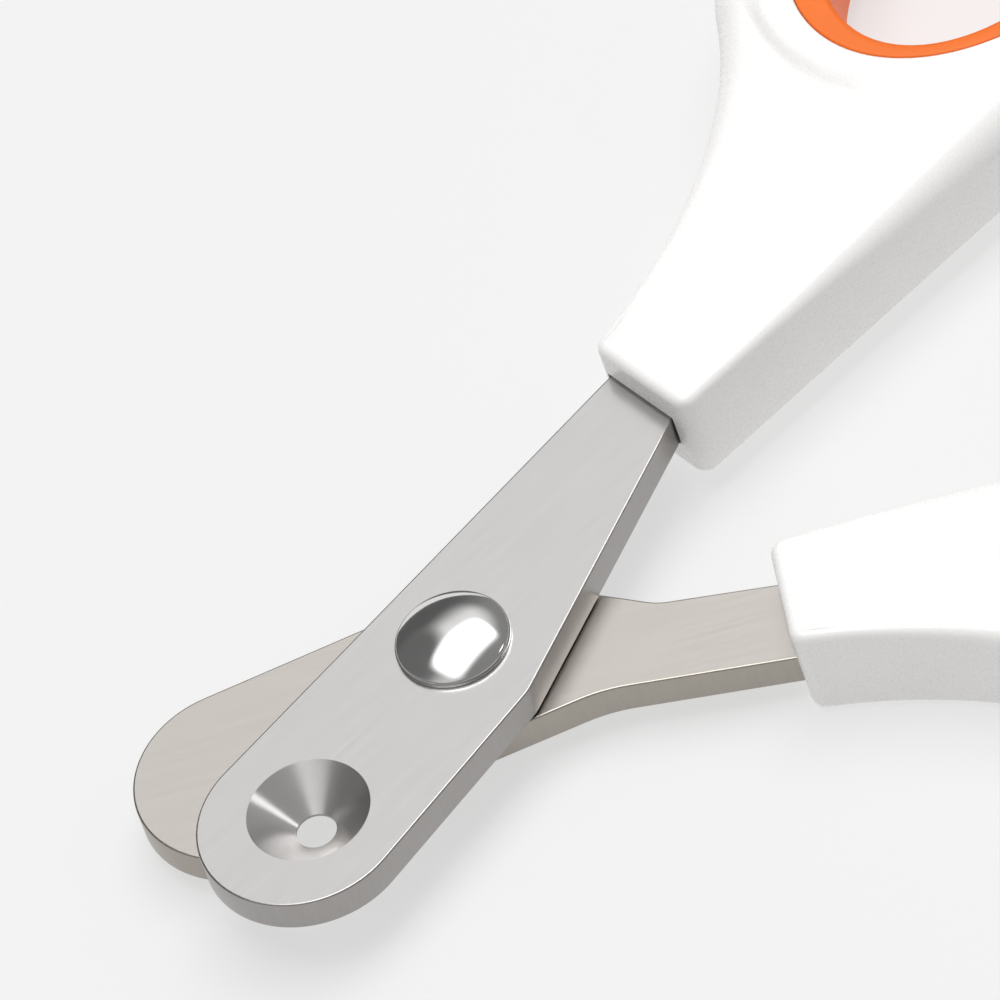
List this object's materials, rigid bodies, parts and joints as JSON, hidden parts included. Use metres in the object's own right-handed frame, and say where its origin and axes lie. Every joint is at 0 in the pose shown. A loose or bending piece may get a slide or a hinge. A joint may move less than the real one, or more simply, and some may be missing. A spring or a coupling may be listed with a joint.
{
  "type": "pet nail trimmer",
  "caption": "Scissor-action pet nail trimmer: a countersunk claw hole in one blade, a shearing blade under it, a domed pivot, and ring handles with soft liners.",
  "frame": {"origin": "on the pivot axis, in the middle of the back cap's flat face, on the plane that the trimmer lies on", "axes": "+Z along the pivot axis, out of the domed face; +X from the blade tips to the handles, halfway between the two handles as opened here; +Y towards the handle of the blade with the claw hole"},
  "size_m": [0.0991, 0.0978, 0.0103],
  "materials": {
    "blade_steel": "fine-ground satin stainless steel",
    "polished_steel": "mirror-polished stainless steel",
    "plated_steel": "zinc-plated steel",
    "white_plastic": "glossy white moulded plastic",
    "orange_soft_grip": "soft orange thermoplastic rubber"
  },
  "bodies": {
    "lower_half": {"lower_blade": "blade_steel", "lower_handle": "white_plastic", "lower_ring_liner": "orange_soft_grip", "pivot_rivet": "polished_steel", "pivot_washer": "plated_steel", "pivot_back_cap": "polished_steel"},
    "upper_half": {"upper_blade": "blade_steel", "upper_handle": "white_plastic", "upper_ring_liner": "orange_soft_grip"}
  },
  "joints": [
    {"name": "blade_pivot", "type": "hinge", "parent": "lower_half", "child": "upper_half", "pos_m": [0, 0, 0], "axis": [0, 0, 1], "range_deg": [-31, 45]}
  ]
}
